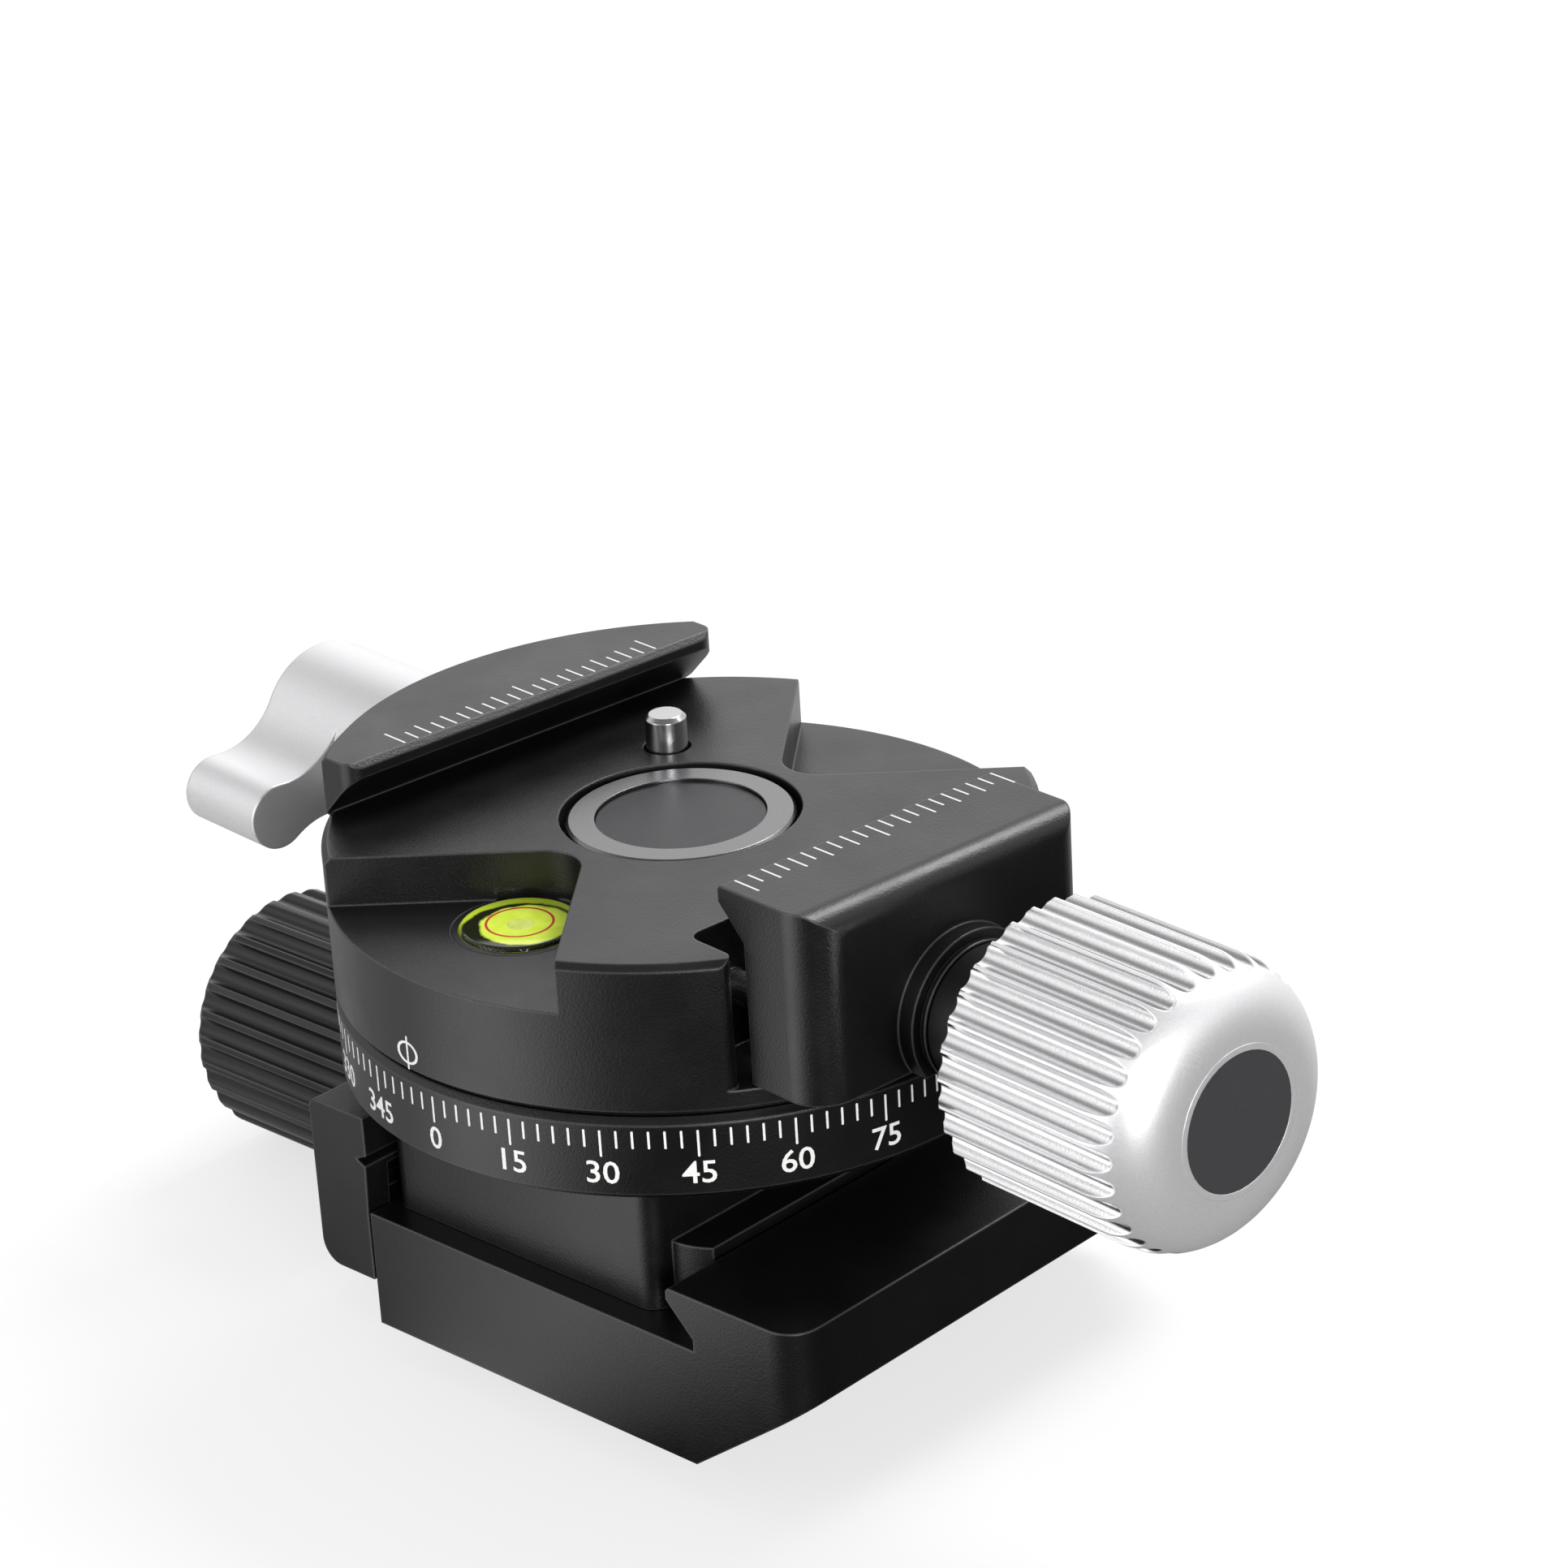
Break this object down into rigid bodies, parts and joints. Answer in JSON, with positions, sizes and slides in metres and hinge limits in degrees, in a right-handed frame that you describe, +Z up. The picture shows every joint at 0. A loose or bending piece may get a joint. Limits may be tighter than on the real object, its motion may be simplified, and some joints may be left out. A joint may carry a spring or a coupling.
{
  "type": "panoramic base",
  "caption": "Panoramic base: a dovetail clamp with fluted knob, bubble level and pan-lock lever turns on a degree ring held in a quick-release base clamp.",
  "frame": {"origin": "on the pan axis, at the mouth of the threaded hole in the underside of the base clamp", "axes": "+Z up along the pan axis, +X towards the silver clamp knob, +Y along the upper clamp channel"},
  "size_m": [0.1139, 0.0582, 0.0494],
  "materials": {
    "black_body": "fine bead-blasted, black anodised",
    "black_knob": "turned and ribbed, black anodised",
    "silver_knob": "turned, fluted, satin silver anodised",
    "silver_lever": "bead-blasted, silver anodised",
    "dark_inlay": "matt dark grey",
    "steel": "turned stainless steel",
    "crown": "circular brushed stainless steel",
    "dark_disc": "straight brushed, dark",
    "level_liquid": "clear window over lime liquid",
    "thrust_plastic": "low-friction plastic",
    "bronze": "plain turned"
  },
  "bodies": {
    "base": {"base_block": "black_body", "base_stud": "steel", "base_springs": "steel"},
    "base_jaw": {"base_jaw": "black_body", "base_jaw_pins": "steel"},
    "base_knob": {"base_knob": "black_knob", "base_knob_washer": "steel", "base_knob_cap": "black_knob"},
    "foot": {"foot_block": "black_body", "foot_screw": "steel", "degree_ring": "black_body", "ring_screws": "steel", "spindle": "steel", "spindle_screw": "steel", "spindle_crown": "crown", "spindle_cap": "dark_disc", "thrust_washer": "thrust_plastic"},
    "top": {"top_body": "black_body", "clamp_stud": "steel", "jaw_springs": "steel", "level_cup": "steel", "level_vial": "level_liquid", "pin_spring": "steel", "pin_plug": "steel"},
    "clamp_jaw": {"clamp_jaw": "black_body", "jaw_pins": "steel"},
    "clamp_knob": {"clamp_knob": "silver_knob", "knob_inlay": "dark_inlay", "knob_washer": "steel"},
    "pan_lever": {"pan_lever": "silver_lever", "lock_screw": "steel", "lever_cap": "dark_inlay"},
    "brake_shoe": {"brake_shoe": "bronze"},
    "safety_pin": {"safety_pin": "steel"}
  },
  "joints": [
    {"name": "base_jaw_slide", "type": "slide", "parent": "base", "child": "base_jaw", "axis": [-0.9955, -0.0952, 0], "range_m": [0, 0.006]},
    {"name": "base_knob_turn", "type": "hinge", "parent": "base_jaw", "child": "base_knob", "pos_m": [-0.04003, -0.00162, 0.0072], "axis": [-0.9955, -0.0952, 0], "range_deg": [0, 2161]},
    {"name": "foot_slide", "type": "slide", "parent": "base", "child": "foot", "axis": [-0.0952, 0.9955, 0], "range_m": [-0.003, 0.012]},
    {"name": "pan", "type": "hinge", "parent": "foot", "child": "top", "pos_m": [0, 0, 0.03], "axis": [0, 0, 1], "continuous": true},
    {"name": "jaw_slide", "type": "slide", "parent": "top", "child": "clamp_jaw", "axis": [1, 0, 0], "range_m": [-0.0057, 0.001]},
    {"name": "knob_turn", "type": "hinge", "parent": "clamp_jaw", "child": "clamp_knob", "pos_m": [0.05, 0, 0.0341], "axis": [1, 0, 0], "range_deg": [-2053, 361]},
    {"name": "lever_turn", "type": "hinge", "parent": "brake_shoe", "child": "pan_lever", "pos_m": [-0.0385, 0, 0.0362], "axis": [1, 0, 0], "range_deg": [0, 90.5]},
    {"name": "brake_press", "type": "slide", "parent": "top", "child": "brake_shoe", "axis": [1, 0, 0], "range_m": [0, 0.00025]},
    {"name": "pin_press", "type": "slide", "parent": "top", "child": "safety_pin", "axis": [0, 0, -1], "range_m": [0, 0.0029], "stiffness_N_per_m": 400}
  ],
  "couplings": [
    {"joint": "base_knob_turn", "follows": "base_jaw_slide", "rad_per_m": 6283.2},
    {"joint": "knob_turn", "follows": "jaw_slide", "rad_per_m": 6283.2},
    {"joint": "lever_turn", "follows": "brake_press", "rad_per_m": 6283.2}
  ]
}
